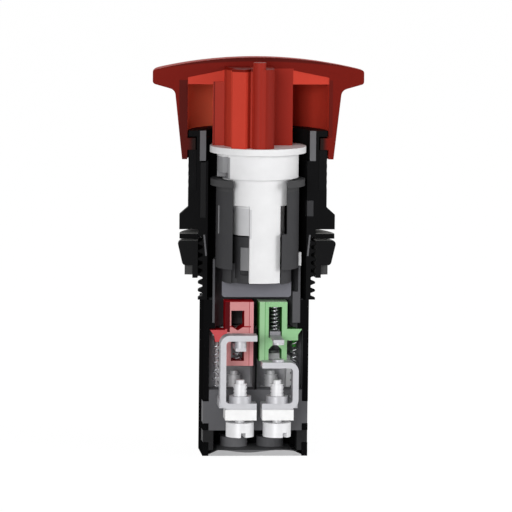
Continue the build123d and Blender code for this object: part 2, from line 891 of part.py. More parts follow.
# Plunger of the normally open contact, on the right
with BuildPart() as open_plunger:
    box_between(
        (plunger_inner, plunger_outer), (0, plunger_depth), (open_plunger_bottom, plunger_top)
    )
    slot_left = open_slot_centre - slot_width / 2
    slot_right = open_slot_centre + slot_width / 2
    box_between(
        (slot_left, slot_right),
        (0, plunger_depth),
        (open_window_bottom, open_window_top),
        mode=Mode.SUBTRACT,
    )
    with BuildSketch(Plane.XZ):
        with BuildLine():
            Polyline(
                (slot_left, open_plunger_bottom),
                (slot_left, open_arch_top - open_arch_round),
                (slot_left + open_arch_round, open_arch_top),
                (slot_right - open_arch_round, open_arch_top),
                (slot_right, open_arch_top - open_arch_round),
                (slot_right, open_plunger_bottom),
                close=True,
            )
        make_face()
    extrude(amount=-plunger_depth, mode=Mode.SUBTRACT)
    open_wing_bottom = open_wing_top - open_wing_height
    box_between(
        (plunger_outer, return_spring_x + return_spring_r),
        (0, wing_depth),
        (open_wing_bottom, open_wing_top),
    )
    with BuildSketch(Plane.XZ):
        with BuildLine():
            Polyline(
                (return_spring_x + return_spring_r, open_wing_top),
                (wing_reach, open_wing_top),
                (return_spring_x + return_spring_r, open_wing_top - open_wing_height / 2),
                close=True,
            )
        make_face()
    extrude(amount=-wing_depth)
    with Locations((return_spring_x, return_spring_y, open_wing_bottom)):
        Cylinder(pin_r, spring_pin_length, align=(Align.CENTER, Align.CENTER, Align.MAX))
open_plunger.part.label = "open_plunger"
export_step(open_plunger.part, "parts/open_plunger.step")

# Return springs of the two plungers
for name, side, top in (
    ("closed_return_spring", -1, closed_wing_bottom),
    ("open_return_spring", 1, open_wing_bottom),
):
    centre = (side * return_spring_x, return_spring_y)
    spring = coil(centre, return_spring_r, return_wire_r, carrier_top, top, return_turns)
    spring.label = name
    export_step(spring, f"parts/{name}.step")

# Bridges: a bar through the plunger with a contact at each end
closed_arm_bottom = closed_arm_top - bracket_thickness
closed_contact_top = closed_arm_bottom - rivet_height - contact_gap
closed_bar_top = closed_contact_top - contact_height
open_bar_bottom = open_window_bottom
terminal_rows = (-terminal_y, terminal_y)
bar_reach = terminal_y + bridge_width / 2
with BuildPart() as closed_bridge:
    box_between(
        (-closed_slot_centre - bridge_width / 2, -closed_slot_centre + bridge_width / 2),
        (-bar_reach, bar_reach),
        (closed_bar_top - bridge_thickness, closed_bar_top),
    )
    with Locations(*[(-closed_slot_centre, row, closed_bar_top) for row in terminal_rows]):
        Cylinder(contact_r, contact_height, align=(Align.CENTER, Align.CENTER, Align.MIN))
closed_bridge.part.label = "closed_bridge"
export_step(closed_bridge.part, "parts/closed_bridge.step")

with BuildPart() as open_bridge:
    box_between(
        (open_slot_centre - bridge_width / 2, open_slot_centre + bridge_width / 2),
        (-bar_reach, bar_reach),
        (open_bar_bottom, open_bar_bottom + bridge_thickness),
    )
    with Locations(*[(open_slot_centre, row, open_bar_bottom) for row in terminal_rows]):
        Cylinder(contact_r, contact_height, align=(Align.CENTER, Align.CENTER, Align.MAX))
open_bridge.part.label = "open_bridge"
export_step(open_bridge.part, "parts/open_bridge.step")

# Spring holder on the bridge of the normally open contact
holder_bottom = open_bar_bottom + bridge_thickness
spring_y = holder_depth / 2
with BuildPart() as spring_holder:
    box_between(
        (open_slot_centre - bridge_width / 2, open_slot_centre + bridge_width / 2),
        (0, holder_depth),
        (holder_bottom, holder_bottom + holder_height),
    )
spring_holder.part.label = "spring_holder"
export_step(spring_holder.part, "parts/spring_holder.step")

# Contact springs that press the bridges
closed_spring_top = closed_bar_top - bridge_thickness
closed_contact_spring = coil(
    (-closed_slot_centre, spring_y),
    contact_spring_r,
    contact_wire_r,
    closed_slot_bottom,
    closed_spring_top,
    closed_spring_turns,
)
closed_contact_spring.label = "closed_contact_spring"
export_step(closed_contact_spring, "parts/closed_contact_spring.step")

open_contact_spring = coil(
    (open_slot_centre, spring_y),
    contact_spring_r,
    contact_wire_r,
    holder_bottom + holder_height,
    open_window_top,
    open_spring_turns,
)
open_contact_spring.label = "open_contact_spring"
export_step(open_contact_spring, "parts/open_contact_spring.step")

# Fixed contacts: rivets under the closed brackets and on top of the open ones
with BuildPart() as fixed_contacts:
    with Locations(*[(-closed_slot_centre, row, closed_arm_bottom) for row in terminal_rows]):
        Cylinder(contact_r, rivet_height, align=(Align.CENTER, Align.CENTER, Align.MAX))
    with Locations(*[(open_slot_centre, row, open_arm_top) for row in terminal_rows]):
        Cylinder(contact_r, contact_height, align=(Align.CENTER, Align.CENTER, Align.MIN))
fixed_contacts.part.label = "fixed_contacts"
export_step(fixed_contacts.part, "parts/fixed_contacts.step")


def terminal_bracket(side, row, arm_top):
    """A C-shaped terminal strip with a threaded boss and a tail in the carrier."""
    half = bracket_thickness / 2
    row_y = row * terminal_y
    with BuildPart() as bracket:
        with BuildSketch(Plane.XZ.offset(-row_y)):
            with BuildLine():
                FilletPolyline(
                    (side * bracket_inner, arm_top - half),
                    (side * (bracket_outer - half), arm_top - half),
                    (side * (bracket_outer - half), low_arm_top - half),
                    (side * bracket_inner, low_arm_top - half),
                    radius=bracket_round,
                )
            trace(line_width=bracket_thickness)
        extrude(amount=bracket_depth / 2, both=True)
        with Locations((side * terminal_x, row_y, low_arm_top)):
            Cylinder(boss_r, boss_height, align=(Align.CENTER, Align.CENTER, Align.MIN))
        with BuildSketch(Plane.XY.offset(low_arm_bottom)):
            with Locations((side * terminal_x, row_y)):
                Circle(screw_hole_r)
        extrude(amount=bracket_thickness + boss_height, mode=Mode.SUBTRACT)
        tail_tip = tail_depth if row < 0 else carrier_depth - tail_depth
        tail_y = tuple(sorted((row_y, tail_tip)))
        box_between(side_range(side, leg_inner, leg_outer), tail_y, tail_range)
    return bracket.part


def terminal_screw(side, row, slot_angle):
    """A slotted screw with its head below the clamp washer."""
    with BuildPart() as screw:
        head_top = washer_bottom - neck_height
        with BuildSketch(Plane.XZ):
            ring_face(0, tip_r, screw_top, screw_top + tip_height)
            ring_face(0, screw_r, washer_bottom, screw_top)
            groove_count = int((screw_top - washer_bottom) / screw_pitch)
            for turn in range(groove_count):
                middle = screw_top - (turn + 0.5) * screw_pitch
                low = middle - screw_groove
                high = middle + screw_groove
                ring_face(screw_r - screw_groove, screw_r, low, high, mode=Mode.SUBTRACT)
            ring_face(0, neck_r, head_top, washer_bottom)
            ring_face(0, head_r, head_top - head_height, head_top)
        revolve(axis=Axis.Z)
        with BuildSketch(Plane.XY.offset(head_top - head_height)):
            Rectangle(driver_slot, 2 * (head_r + free_gap), rotation=slot_angle)
        extrude(amount=driver_depth, mode=Mode.SUBTRACT)
    return screw.part.moved(Location((side * terminal_x, row * terminal_y, 0)))


def clamp_washer(side, row):
    """A square washer that the screw carries against the bracket."""
    row_y = row * terminal_y
    with BuildPart() as washer:
        box_between(
            (side * terminal_x - washer_width / 2, side * terminal_x + washer_width / 2),
            (row_y - washer_depth / 2, row_y + washer_depth / 2),
            (washer_bottom, low_arm_bottom),
        )
        with BuildSketch(Plane.XY.offset(washer_bottom)):
            with Locations((side * terminal_x, row_y)):
                Circle(screw_hole_r)
        extrude(amount=washer_height, mode=Mode.SUBTRACT)
    return washer.part


# Terminals: one bracket, screw and clamp washer for each pole and row
for pole, side, arm_top, slot_angle in (
    ("closed", -1, closed_arm_top, closed_slot_angle),
    ("open", 1, open_arm_top, open_slot_angle),
):
    for place, row in (("front", -1), ("rear", 1)):
        pieces = {
            "bracket": terminal_bracket(side, row, arm_top),
            "screw": terminal_screw(side, row, slot_angle),
            "washer": clamp_washer(side, row),
        }
        for kind, piece in pieces.items():
            piece.label = f"{pole}_{place}_{kind}"
            export_step(piece, f"parts/{pole}_{place}_{kind}.step")
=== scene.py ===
"""A cutaway mushroom-head pushbutton: finishes, springs, gaiter, light and camera."""
import math

import bmesh
import bpy
import numpy as np
from bpy.props import FloatProperty, FloatVectorProperty, PointerProperty
from bpy.types import Operator, Panel, PropertyGroup
from mathutils import Matrix, Vector


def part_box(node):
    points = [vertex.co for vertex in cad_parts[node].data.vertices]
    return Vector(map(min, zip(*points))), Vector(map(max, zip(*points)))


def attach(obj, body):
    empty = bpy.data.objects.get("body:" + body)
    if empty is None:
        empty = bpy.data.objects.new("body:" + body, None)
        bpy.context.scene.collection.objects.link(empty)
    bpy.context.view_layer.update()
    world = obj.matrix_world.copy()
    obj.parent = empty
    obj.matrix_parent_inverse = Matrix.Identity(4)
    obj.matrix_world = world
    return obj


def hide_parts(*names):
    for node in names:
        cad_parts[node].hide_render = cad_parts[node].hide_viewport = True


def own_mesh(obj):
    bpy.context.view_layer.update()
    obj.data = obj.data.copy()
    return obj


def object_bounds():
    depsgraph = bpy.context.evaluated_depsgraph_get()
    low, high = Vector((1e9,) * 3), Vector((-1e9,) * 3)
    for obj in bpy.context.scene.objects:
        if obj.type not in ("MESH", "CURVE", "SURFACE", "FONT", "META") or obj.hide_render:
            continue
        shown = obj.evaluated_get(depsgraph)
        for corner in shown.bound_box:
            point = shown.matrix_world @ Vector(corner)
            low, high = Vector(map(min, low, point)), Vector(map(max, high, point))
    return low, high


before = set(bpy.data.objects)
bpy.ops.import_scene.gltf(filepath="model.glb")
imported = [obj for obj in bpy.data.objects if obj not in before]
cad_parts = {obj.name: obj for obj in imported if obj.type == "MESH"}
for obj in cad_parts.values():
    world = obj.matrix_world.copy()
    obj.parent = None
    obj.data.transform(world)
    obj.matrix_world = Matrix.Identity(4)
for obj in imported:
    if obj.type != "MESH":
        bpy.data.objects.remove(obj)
cad_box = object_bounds()

bl_info = {
    "name": "Cutaway pushbutton",
    "version": (1, 0, 0),
    "blender": (4, 5, 0),
    "location": "View3D > Sidebar > Pushbutton",
    "description": "Dresses a cutaway mushroom-head pushbutton and sets its stage",
    "category": "Object",
}

# Every length is in metres, on the CAD's own axes: Z is the push axis, and the casing is cut
# on the plane Y = 0, of which only the rear half, at positive Y, is kept.

# Scales of the noise patterns, in features per metre
MOTTLE_SCALE = 260.0
GRAIN_SCALE = 5200.0
SHEEN_SCALE = 1400.0
SAW_SCALE = 700.0
TARNISH_SCALE = 900.0
LINE_SCALE = 1600.0
FLOOR_SCALE = 40.0

# How dark and how light each pattern makes its tone, as shares of it
MOTTLE_SHARES = (0.92, 1.06)
SAW_SHARES = (0.95, 1.05)
TARNISH_SHARE = 0.86
FLOOR_SHARE = 0.99

# How far the roughness swings below and above its value
SHEEN_SWING = (0.06, 0.08)
LINE_SWING = (0.08, 0.12)

# The saw marks and the drawn lines are this many times finer along X, Y and Z
SAW_STRETCH = (1.0, 1.0, 12.0)
LINE_STRETCH = (1.0, 1.0, 14.0)

# Depth of the moulded grain, and strength and depth of the drawn lines
GRAIN_DEPTH = 0.00004
LINE_STRENGTH = 0.15
LINE_DEPTH = 0.00002

# Range of Y that counts as the cut plane, and radius of the skirt's bore
CUT_PLANE = (-0.00002, 0.00002)
SKIRT_BORE = 0.0134

# Upright stripes of painted light and shade on the stem: each starts at a share of the width
# about X = 0
STEM_WIDTH = 0.02
STEM_FRONT = 0.0001
STEM_SHADING_STRIPES = (
    (0.0, "flank"),
    (0.19, "groove"),
    (0.225, "cap"),
    (0.37, "groove"),
    (0.42, "nose"),
    (0.53, "stem"),
)

# Zones: a tone's name and the ranges of X, Y and Z that it covers. Later ones lie on top.
# Painted light inside the skirt left of the stem, painted shade right of it, and painted shade
# on its bore by the lugs
SKIRT_LIGHT_AND_SHADE_ZONES = (
    ("inner", {"x": (-0.0135, 0.0), "y": (0.0016, 0.0134), "z": (0.0150, 0.0290)}),
    ("inner_right_shade", {"x": (0.0, 0.0135), "y": (0.0016, 0.0134), "z": (0.0150, 0.0290)}),
    ("lug", {"z": (0.0150, 0.01735)}),
)
STEM_TOP_ZONES = (
    ("cap_cut", {"x": (-0.0090, -0.0017), "y": (-0.0090, 0.0001), "z": (0.0304, 0.0312)}),
)
# Painted shade on the cut of the skirt's left wall and along its right bore, and painted light
# on the cut behind the stem
HEAD_CUT_SHADING_ZONES = (
    ("skirt_cut_shade", {"x": (-0.0150, -0.0120), "z": (0.0130, 0.0283)}),
    ("skirt_edge_shade", {"x": (0.0130, 0.0141), "z": (0.0174, 0.0283)}),
    ("quarter_light", {"x": (0.0024, 0.0066), "z": (0.0150, 0.0305)}),
)
# Painted shade on the white sleeve: a grey patch on the left of its collar, and grey on its
# inner tube seen through the window
SLEEVE_SHADE_ZONES = (
    ("collar_shade", {"x": (-0.0080, -0.0057), "z": (0.0098, 0.0141)}),
    ("core", {"x": (-0.0053, -0.0016), "z": (-0.0012, 0.0044)}),
)
# Painted light inside the black contact block: grey in its cavity, lighter grey at its back and
# beside its left spring
BLOCK_LIGHT_ZONES = (
    ("cavity_light", {"x": (-0.00895, 0.00895), "y": (0.00003, 0.0097), "z": (-0.0384, -0.0130)}),
    ("depth", {"x": (-0.00895, 0.00895), "y": (0.0048, 0.0097), "z": (-0.0384, -0.0195)}),
    ("side", {"x": (-0.00895, -0.0058), "y": (0.00003, 0.0097), "z": (-0.0320, -0.0200)}),
)
# Painted light on the top faces of the nut and the gasket
NUT_TOP_LIGHT_ZONES = (("top", {"z": (-0.00218, -0.00206)}),)
GASKET_TOP_LIGHT_ZONES = (("top", {"z": (-0.00090, -0.00080)}),)
# Painted light: the barrel's top flange is a little lighter than the barrel
BARREL_RIM_LIGHT_ZONES = (("rim", {"z": (0.0076, 0.0104)}),)
# Painted light on the red plunger's top face
CLOSED_TOP_LIGHT_ZONES = (("closed_top_light", {"z": (-0.01392, -0.01378)}),)
# On the red plunger's cut: a strip of painted light, thin lines, painted shade down its left
# side, and a wing
CLOSED_CUT_ZONES = (
    ("closed_edge_light", {"x": (-0.00125, -0.0005)}),
    ("closed_line", {"x": (-0.00135, -0.00125)}),
    ("closed_line", {"x": (-0.0050, -0.0010), "z": (-0.01870, -0.01845)}),
    ("closed_side_shade", {"x": (-0.0060, -0.0050), "z": (-0.0196, -0.0138)}),
    ("closed_wing", {"x": (-0.0090, -0.0055), "z": (-0.0230, -0.0190)}),
)
# Painted light on the green plunger's top face
OPENED_TOP_LIGHT_ZONES = (("opened_top_light", {"z": (-0.01392, -0.01378)}),)
# On the green plunger's cut: a strip of painted light, painted shade down its left side, and a
# thin line
OPENED_CUT_ZONES = (
    ("opened_edge_light", {"x": (0.00068, 0.00165)}),
    ("opened_side_shade", {"x": (0.0002, 0.00068)}),
    ("opened_line", {"x": (0.00165, 0.00175)}),
)
CARRIER_ZONES = (("leg", {"z": (-0.0433, -0.0384)}),)

# Gaiter: thickness of its ring, number of its ridges, and steps up its height
GAITER_WALL = 0.0015
GAITER_RIDGES = 5
GAITER_STEPS = 60

# Stage: half the floor's width, its glow and the share of it that the camera sees, and the
# strength of the sky's light
FLOOR_HALF = 1.5
FLOOR_GLOW = 1.055
GLOW_SHARE = 0.92
SKY_STRENGTH = 0.30

# Soft lamps: name, place and power in watts, all of one width
LAMP_WIDTH = 0.40
LAMPS = (
    ("key_lamp", (-0.34, -0.93, 0.16), 4.4),
    ("fill_lamp", (0.82, -0.52, 0.24), 3.5),
)

# Camera: sensor width in millimetres, and the distances between which it sees
SENSOR_WIDTH = 36.0
CLIP_START = 0.05
CLIP_END = 20.0


def colour(name, description, default):
    """A display colour that a user can change, kept as it looks on screen."""
    return FloatVectorProperty(
        name=name,
        description=description,
        subtype="COLOR_GAMMA",
        size=3,
        min=0.0,
        max=1.0,
        default=[channel / 255 for channel in default],
    )


def length(name, description, default):
    """A length in metres."""
    return FloatProperty(
        name=name, description=description, subtype="DISTANCE", unit="LENGTH", default=default
    )


def number(name, description, default):
    """A plain number."""
    return FloatProperty(name=name, description=description, default=default)


def angle_of(name, description, degrees):
    """An angle, shown in degrees."""
    return FloatProperty(
        name=name, description=description, subtype="ANGLE", unit="ROTATION",
        default=math.radians(degrees),
    )


class HeadFinish(PropertyGroup):
    """Colours of the mushroom head and the latch sleeve."""

    cap: colour("Cap", "Moulded red of the cap and stem", (206, 66, 50))
    cap_cut: colour("Cap cut", "Cut face of the cap", (117, 21, 11))
    # Painted shade: the cut of the skirt's left wall and a strip along its right bore, darker
    # than the rest of the cut
    skirt_cut_shade: colour("Skirt cut", "Cut face of the skirt's left wall", (84, 17, 11))
    skirt_edge_shade: colour("Skirt edge", "Cut face along the skirt's right bore", (100, 20, 13))
    # Painted light: the cut behind the stem, lighter than the rest of the cut
    quarter_light: colour("Quarter", "Cut face behind the stem", (156, 42, 31))
    # Painted shade: a darker band of the cut under the dome
    dome: colour("Dome", "Darker band of the cut under the dome", (86, 16, 10))
    # Painted light: the inside of the skirt left of the stem, far lighter than the red; painted
    # shade a little darker right of it
    inner: colour("Inner", "Inside of the skirt, left of the stem", (255, 116, 84))
    inner_right_shade: colour("Inner right", "Inside of the skirt, right of the stem", (190, 60, 45))
    # Painted light and shade: upright stripes on the stem, darker towards its right side
    flank: colour("Flank", "Left flank of the stem", (174, 52, 38))
    groove: colour("Groove", "Grooves between the stem's ribs", (184, 58, 42))
    nose: colour("Nose", "Rounded nose of the stem", (156, 43, 32))
    stem: colour("Stem", "Right side of the stem", (138, 35, 25))
    # Painted shade: near black on the skirt's bore by the lugs and on the lugs' cut, deepening
    # inwards
    lug: colour("Lug", "Cut lugs that clip over the body", (34, 20, 18))
    sleeve: colour("Sleeve", "White of the latch sleeve and the stop", (239, 239, 240))
    # Painted shade: greys on the sleeve's inner tube and on the left of its collar
    core: colour("Core", "Inner tube seen through the window", (216, 216, 218))
    collar_shade: colour("Recess", "Recess in the sleeve's collar", (158, 158, 160))


class BodyFinish(PropertyGroup):
    """Colours of the body tube, barrel, seals and nut, and the gaiter's ridges."""

    body: colour("Body", "Black of the body, contact block and soft rings", (22, 22, 23))
    body_cut: colour("Body cut", "Cut faces of the black pieces", (17, 17, 18))
    barrel: colour("Barrel", "Dark grey of the latch barrel", (66, 66, 68))
    # Painted light: the barrel's top flange, a little lighter than the barrel
    rim: colour("Barrel rim", "Top flange of the barrel", (72, 72, 73))
    plate: colour("Plate", "Grey of the pusher plate", (120, 120, 127))
    # Painted light: greys inside the black contact block, lighter at its back and beside its
    # left spring
    cavity_light: colour("Cavity", "Grey inside of the contact block", (100, 100, 103))
    depth: colour("Cavity depth", "Lighter grey at the back of the block", (196, 196, 199))
    side: colour("Cavity side", "Grey of the block beside its left spring", (132, 132, 135))
    # Painted sheen: a grey tone on the nut's black plastic, in place of the sheen of light on it
    nut: colour("Nut", "Moulded outside of the locking nut", (72, 72, 72))
    # Painted light: pale top faces of the gasket and the nut
    top: colour("Ring tops", "Pale top faces of the gasket and the nut", (196, 195, 193))
    seal: colour("Seal", "Cut face of the lip seal, and the clip ring", (108, 108, 111))
    # Painted sheen: a dark grey tone on the black gasket, in place of the sheen of light on it
    gasket: colour("Gasket", "Dark grey of the panel gasket", (70, 70, 70))
    pawl: colour("Pawl", "Grey of the latch pawl", (140, 140, 142))
    lock: colour("Lock bar", "Dark grey of the lock bar", (34, 34, 35))
    key: colour("Key", "Dark grey of the locating key", (62, 62, 64))
    ridge: length("Ridge", "Depth of the gaiter's ridges", 0.00004)


class ContactFinish(PropertyGroup):
    """Colours of the contact block's inner pieces, its metal and the wires."""

    closed: colour("Closed contact", "Red of the closed contact's plunger", (180, 14, 28))
    # Painted light: a far lighter top face on the red plunger
    closed_top_light: colour("Closed top", "Top of the red plunger", (255, 44, 58))
    closed_cut: colour("Closed cut", "Cut face of the red plunger", (214, 146, 146))
    closed_wing: colour("Closed wing", "Cut wing of the red plunger", (204, 84, 88))
    # Painted shade down the red plunger's left side, and painted light on a strip of its cut
    closed_side_shade: colour("Closed side", "Dark left side of the red plunger", (88, 14, 20))
    closed_edge_light: colour("Closed edge", "Strip of the red cut face", (222, 152, 156))
    closed_line: colour("Closed line", "Thin lines on the red cut face", (158, 40, 46))
    opened: colour("Open contact", "Green of the open contact's plunger", (60, 132, 56))
    # Painted light: a far lighter top face on the green plunger
    opened_top_light: colour("Open top", "Top of the green plunger", (226, 255, 220))
    opened_cut: colour("Open cut", "Cut face of the green plunger", (154, 204, 151))
    # Painted light on a strip of the green plunger's cut, and painted shade down its left side
    opened_edge_light: colour("Open edge", "Strip of the green cut face", (162, 206, 158))
    opened_side_shade: colour("Open side", "Dark left side of the green plunger", (66, 118, 62))
    opened_line: colour("Open line", "Thin line on the green cut face", (84, 150, 84))
    carrier: colour("Carrier", "Grey of the terminal carrier", (102, 102, 105))
    tube: colour("Guide tube", "Grey of the guide tube", (90, 90, 93))
    leg: colour("Carrier legs", "Dark legs of the terminal carrier", (40, 40, 41))
    cover: colour("Cover", "Light grey of the base cover", (190, 190, 191))
    holder: colour("Holder", "Grey of the spring holder", (150, 150, 154))
    guide: colour("Cover inside", "Dark grey inside of the base cover", (98, 98, 100))
    funnel: colour("Guides", "Grey of the screwdriver guides", (118, 118, 121))
    strip: colour("Strip", "Plated terminal strip", (200, 200, 204))
    screw: colour("Screw", "Bright screws", (242, 242, 244))
    washer: colour("Washer", "Bright clamp washers", (255, 255, 255))
    # Painted light: the rear brackets, screws and washers share one rougher copy of the steel,
    # whose tone makes up for the shade at the back
    rear_lit_metal: colour("Rear screw", "Duller metal at the back", (238, 238, 240))
    wire: colour("Wire", "Spring wire", (196, 196, 200))
    lock_wire: colour("Lock wire", "Dark wire of the lock", (112, 112, 114))


class SpringSizes(PropertyGroup):
    """Sizes of the coil springs."""

    return_radius: length("Return radius", "Coil radius of the return springs", 0.0006)
    return_wire: length("Return wire", "Wire radius of the return springs", 0.00014)
    return_turns: number("Return turns", "Turns of the return springs", 7.5)
    contact_radius: length("Contact radius", "Coil radius of the contact springs", 0.0007)
    contact_wire: length("Contact wire", "Wire radius of the contact springs", 0.00012)
    contact_turns: number("Contact turns", "Turns of the open one, twice the closed one's", 7.0)


class StageSettings(PropertyGroup):
    """Camera, lamps and floor."""

    azimuth: angle_of("Azimuth", "Camera turn to the right of the cut plane's normal", -5.0)
    elevation: angle_of("Elevation", "Camera height above the horizon", 6.5)
    roll: angle_of("Roll", "Camera roll about its view axis", 0.6)
    lens: number("Lens", "Focal length in millimetres", 400.0)
    frame_width: length("Frame width", "Width of the picture at the object", 0.0969)
    aim_side: length("Aim side", "Distance that the camera aims right of the axis", -0.00017)
    aim_height: length("Aim height", "Height that the camera aims at", -0.00508)
    lamp: number("Lamp", "Factor on the power of both lamps", 1.0)
    floor: colour("Floor", "Pale floor", (250, 250, 250))


SETTINGS = {
    "button_head": HeadFinish,
    "button_body": BodyFinish,
    "button_contacts": ContactFinish,
    "button_springs": SpringSizes,
    "button_stage": StageSettings,
}


def linear(display):
    """Display colour to linear light, by the sRGB curve on the whole array."""
    value = np.array(display[:3], float)
    low = value / 12.92
    high = ((value + 0.055) / 1.055) ** 2.4
    return (*np.where(value <= 0.04045, low, high), 1.0)


def shaded(tone, share):
    """A linear colour made darker or lighter by a share."""
    return tuple(min(1.0, channel * share) for channel in tone[:3]) + (1.0,)


class Nodes:
    """Small helper that adds and links shader nodes of one material."""

    def __init__(self, name):
        self.material = bpy.data.materials.new(name)
        self.material.use_nodes = True
        self.tree = self.material.node_tree
        self.shader = self.tree.nodes["Principled BSDF"]

    def add(self, kind, **values):
        """One new node with the given settings."""
        node = self.tree.nodes.new(kind)
        for key, value in values.items():
            setattr(node, key, value)
        return node

    def link(self, source, target):
        """Link an output socket to an input socket."""
        self.tree.links.new(source, target)

    def math(self, operation, *values):
        """One Math node; an input is a socket or a number."""
        node = self.add("ShaderNodeMath", operation=operation)
        for index, value in enumerate(values):
            if isinstance(value, (int, float)):
                node.inputs[index].default_value = value
            else:
                self.link(value, node.inputs[index])
        return node.outputs[0]

    def mix(self, factor, first, second):
        """Mix two colours; a colour is a socket or four numbers."""
        node = self.add("ShaderNodeMix", data_type="RGBA")
        self.link(factor, node.inputs["Factor"])
        for socket, value in ((node.inputs[6], first), (node.inputs[7], second)):
            if isinstance(value, tuple):
                socket.default_value = value
            else:
                self.link(value, socket)
        return node.outputs[2]

    def noise(self, scale, detail=3.0, roughness=0.55, stretch=None):
        """Noise on Object coordinates, with the scale in features per metre. A stretch
        multiplies the coordinates along X, Y and Z first."""
        place = self.add("ShaderNodeTexCoord").outputs["Object"]
        if stretch:
            mapping = self.add("ShaderNodeMapping")
            mapping.inputs["Scale"].default_value = stretch
            self.link(place, mapping.inputs["Vector"])
            place = mapping.outputs[0]
        node = self.add("ShaderNodeTexNoise")
        node.inputs["Scale"].default_value = scale
        node.inputs["Detail"].default_value = detail
        node.inputs["Roughness"].default_value = roughness
        self.link(place, node.inputs["Vector"])
        return node.outputs["Fac"]

    def streaks(self, scale, stretch):
        """Coarser noise drawn out into fine lines."""
        return self.noise(scale, detail=2.0, roughness=0.5, stretch=stretch)

    def ramp(self, value, low, high):
        """Map 0..1 to low..high."""
        node = self.add("ShaderNodeMapRange")
        node.inputs["To Min"].default_value = low
        node.inputs["To Max"].default_value = high
        self.link(value, node.inputs["Value"])
        return node.outputs[0]

    def fade(self, value, start, end):
        """A smooth step from 0 at start to 1 at end."""
        node = self.add("ShaderNodeMapRange", interpolation_type="SMOOTHSTEP")
        node.inputs["From Min"].default_value = start
        node.inputs["From Max"].default_value = end
        self.link(value, node.inputs["Value"])
        return node.outputs[0]

    def within(self, value, low, high):
        """One between low and high, else nought."""
        node = self.add("ShaderNodeMath", operation="COMPARE")
        self.link(value, node.inputs[0])
        node.inputs[1].default_value = (low + high) / 2
        node.inputs[2].default_value = (high - low) / 2
        return node.outputs[0]

    def bump(self, height, strength, distance):
        """Raise the surface by a pattern, up to a distance."""
        node = self.add("ShaderNodeBump")
        node.inputs["Strength"].default_value = strength
        node.inputs["Distance"].default_value = distance
        self.link(height, node.inputs["Height"])
        self.link(node.outputs[0], self.shader.inputs["Normal"])

    def finish(self, tone, rough):
        """Give the shader its colour and roughness sockets, and hand over the material."""
        self.link(tone, self.shader.inputs["Base Color"])
        self.link(rough, self.shader.inputs["Roughness"])
        return self.material


def plastic(name, body, cut=None, marks=(), cut_marks=(), roughness=0.5, grain=0.25,
            gloss=0.12):
    """Moulded plastic: slow mottling of the colour, fine grain in the surface, and saw marks
    with their own colour where the casing is cut on the plane Y = 0. Each mark is a function
    that is handed the nodes and the X, Y and Z sockets, and gives a mask and a colour."""
    made = Nodes(name)
    split = made.add("ShaderNodeSeparateXYZ")
    made.link(made.add("ShaderNodeTexCoord").outputs["Object"], split.inputs[0])
    base = linear(body)
    tone = made.mix(made.noise(MOTTLE_SCALE), *(shaded(base, share) for share in MOTTLE_SHARES))
    for mark in marks:
        mask, value = mark(made, *split.outputs)
        tone = made.mix(mask, tone, value)
    height = made.noise(GRAIN_SCALE, detail=2.0)
    if cut is not None:
        face = linear(cut)
        saw = made.streaks(SAW_SCALE, SAW_STRETCH)
        sawn = made.mix(saw, *(shaded(face, share) for share in SAW_SHARES))
        for mark in cut_marks:
            mask, value = mark(made, *split.outputs)
            sawn = made.mix(mask, sawn, value)
        mask = made.within(split.outputs["Y"], *CUT_PLANE)
        tone = made.mix(mask, tone, sawn)
        swap = made.add("ShaderNodeMix", data_type="FLOAT")
        made.link(mask, swap.inputs["Factor"])
        made.link(height, swap.inputs[2])
        made.link(saw, swap.inputs[3])
        height = swap.outputs[0]
    made.shader.inputs["Specular IOR Level"].default_value = gloss
    below, above = SHEEN_SWING
    rough = made.ramp(made.noise(SHEEN_SCALE), roughness - below, roughness + above)
    made.bump(height, grain, GRAIN_DEPTH)
    return made.finish(tone, rough)


def metal(name, tint, roughness, metallic):
    """Plated metal: a little tarnish in the colour, and fine drawn lines across Z in the
    roughness and the surface."""
    made = Nodes(name)
    base = linear(tint)
    tone = made.mix(made.noise(TARNISH_SCALE), shaded(base, TARNISH_SHARE), base)
    made.shader.inputs["Metallic"].default_value = metallic
    lines = made.streaks(LINE_SCALE, LINE_STRETCH)
    below, above = LINE_SWING
    rough = made.ramp(lines, roughness - below, roughness + above)
    made.bump(lines, LINE_STRENGTH, LINE_DEPTH)
    return made.finish(tone, rough)


def box_mark(tone, x=None, y=None, z=None):
    """A mark of one display colour inside the given ranges of X, Y and Z."""
    def mark(made, *sockets):
        mask = 1.0
        for socket, limits in zip(sockets, (x, y, z)):
            if limits is not None:
                mask = made.math("MULTIPLY", made.within(socket, *limits), mask)
        return mask, linear(tone)
    return mark


def bore_mark(tone, **ranges):
    """A box mark on what lies in the skirt's bore: the facets of its wall and all inside
    them, where X squared plus Y squared is less than the bore's radius squared."""
    box = box_mark(tone, **ranges)

    def mark(made, across, depth, height):
        squares = [made.math("MULTIPLY", side, side) for side in (across, depth)]
        inside = made.math("LESS_THAN", made.math("ADD", *squares), SKIRT_BORE * SKIRT_BORE)
        mask, shown = box(made, across, depth, height)
        return made.math("MULTIPLY", inside, mask), shown
    return mark


def zone_marks(tones, zones, make=box_mark):
    """Marks of the named tones on their zones, in order."""
    return [make(getattr(tones, name), **ranges) for name, ranges in zones]


def dome_shade_mark(tone, apex, radius, depth, soft=0.2):
    """A band of painted shade on the cut under a dome: what lies above a parabola, whose height
    is the apex less the depth less X squared over twice the radius. Its edge fades over a share
    of the depth to each side."""
    def mark(made, across, _, height):
        drop = made.math("DIVIDE", made.math("MULTIPLY", across, across), 2 * radius)
        level = made.math("ADD", height, drop)
        start = apex - (1 + soft) * depth
        end = apex - (1 - soft) * depth
        return made.fade(level, start, end), linear(tone)
    return mark


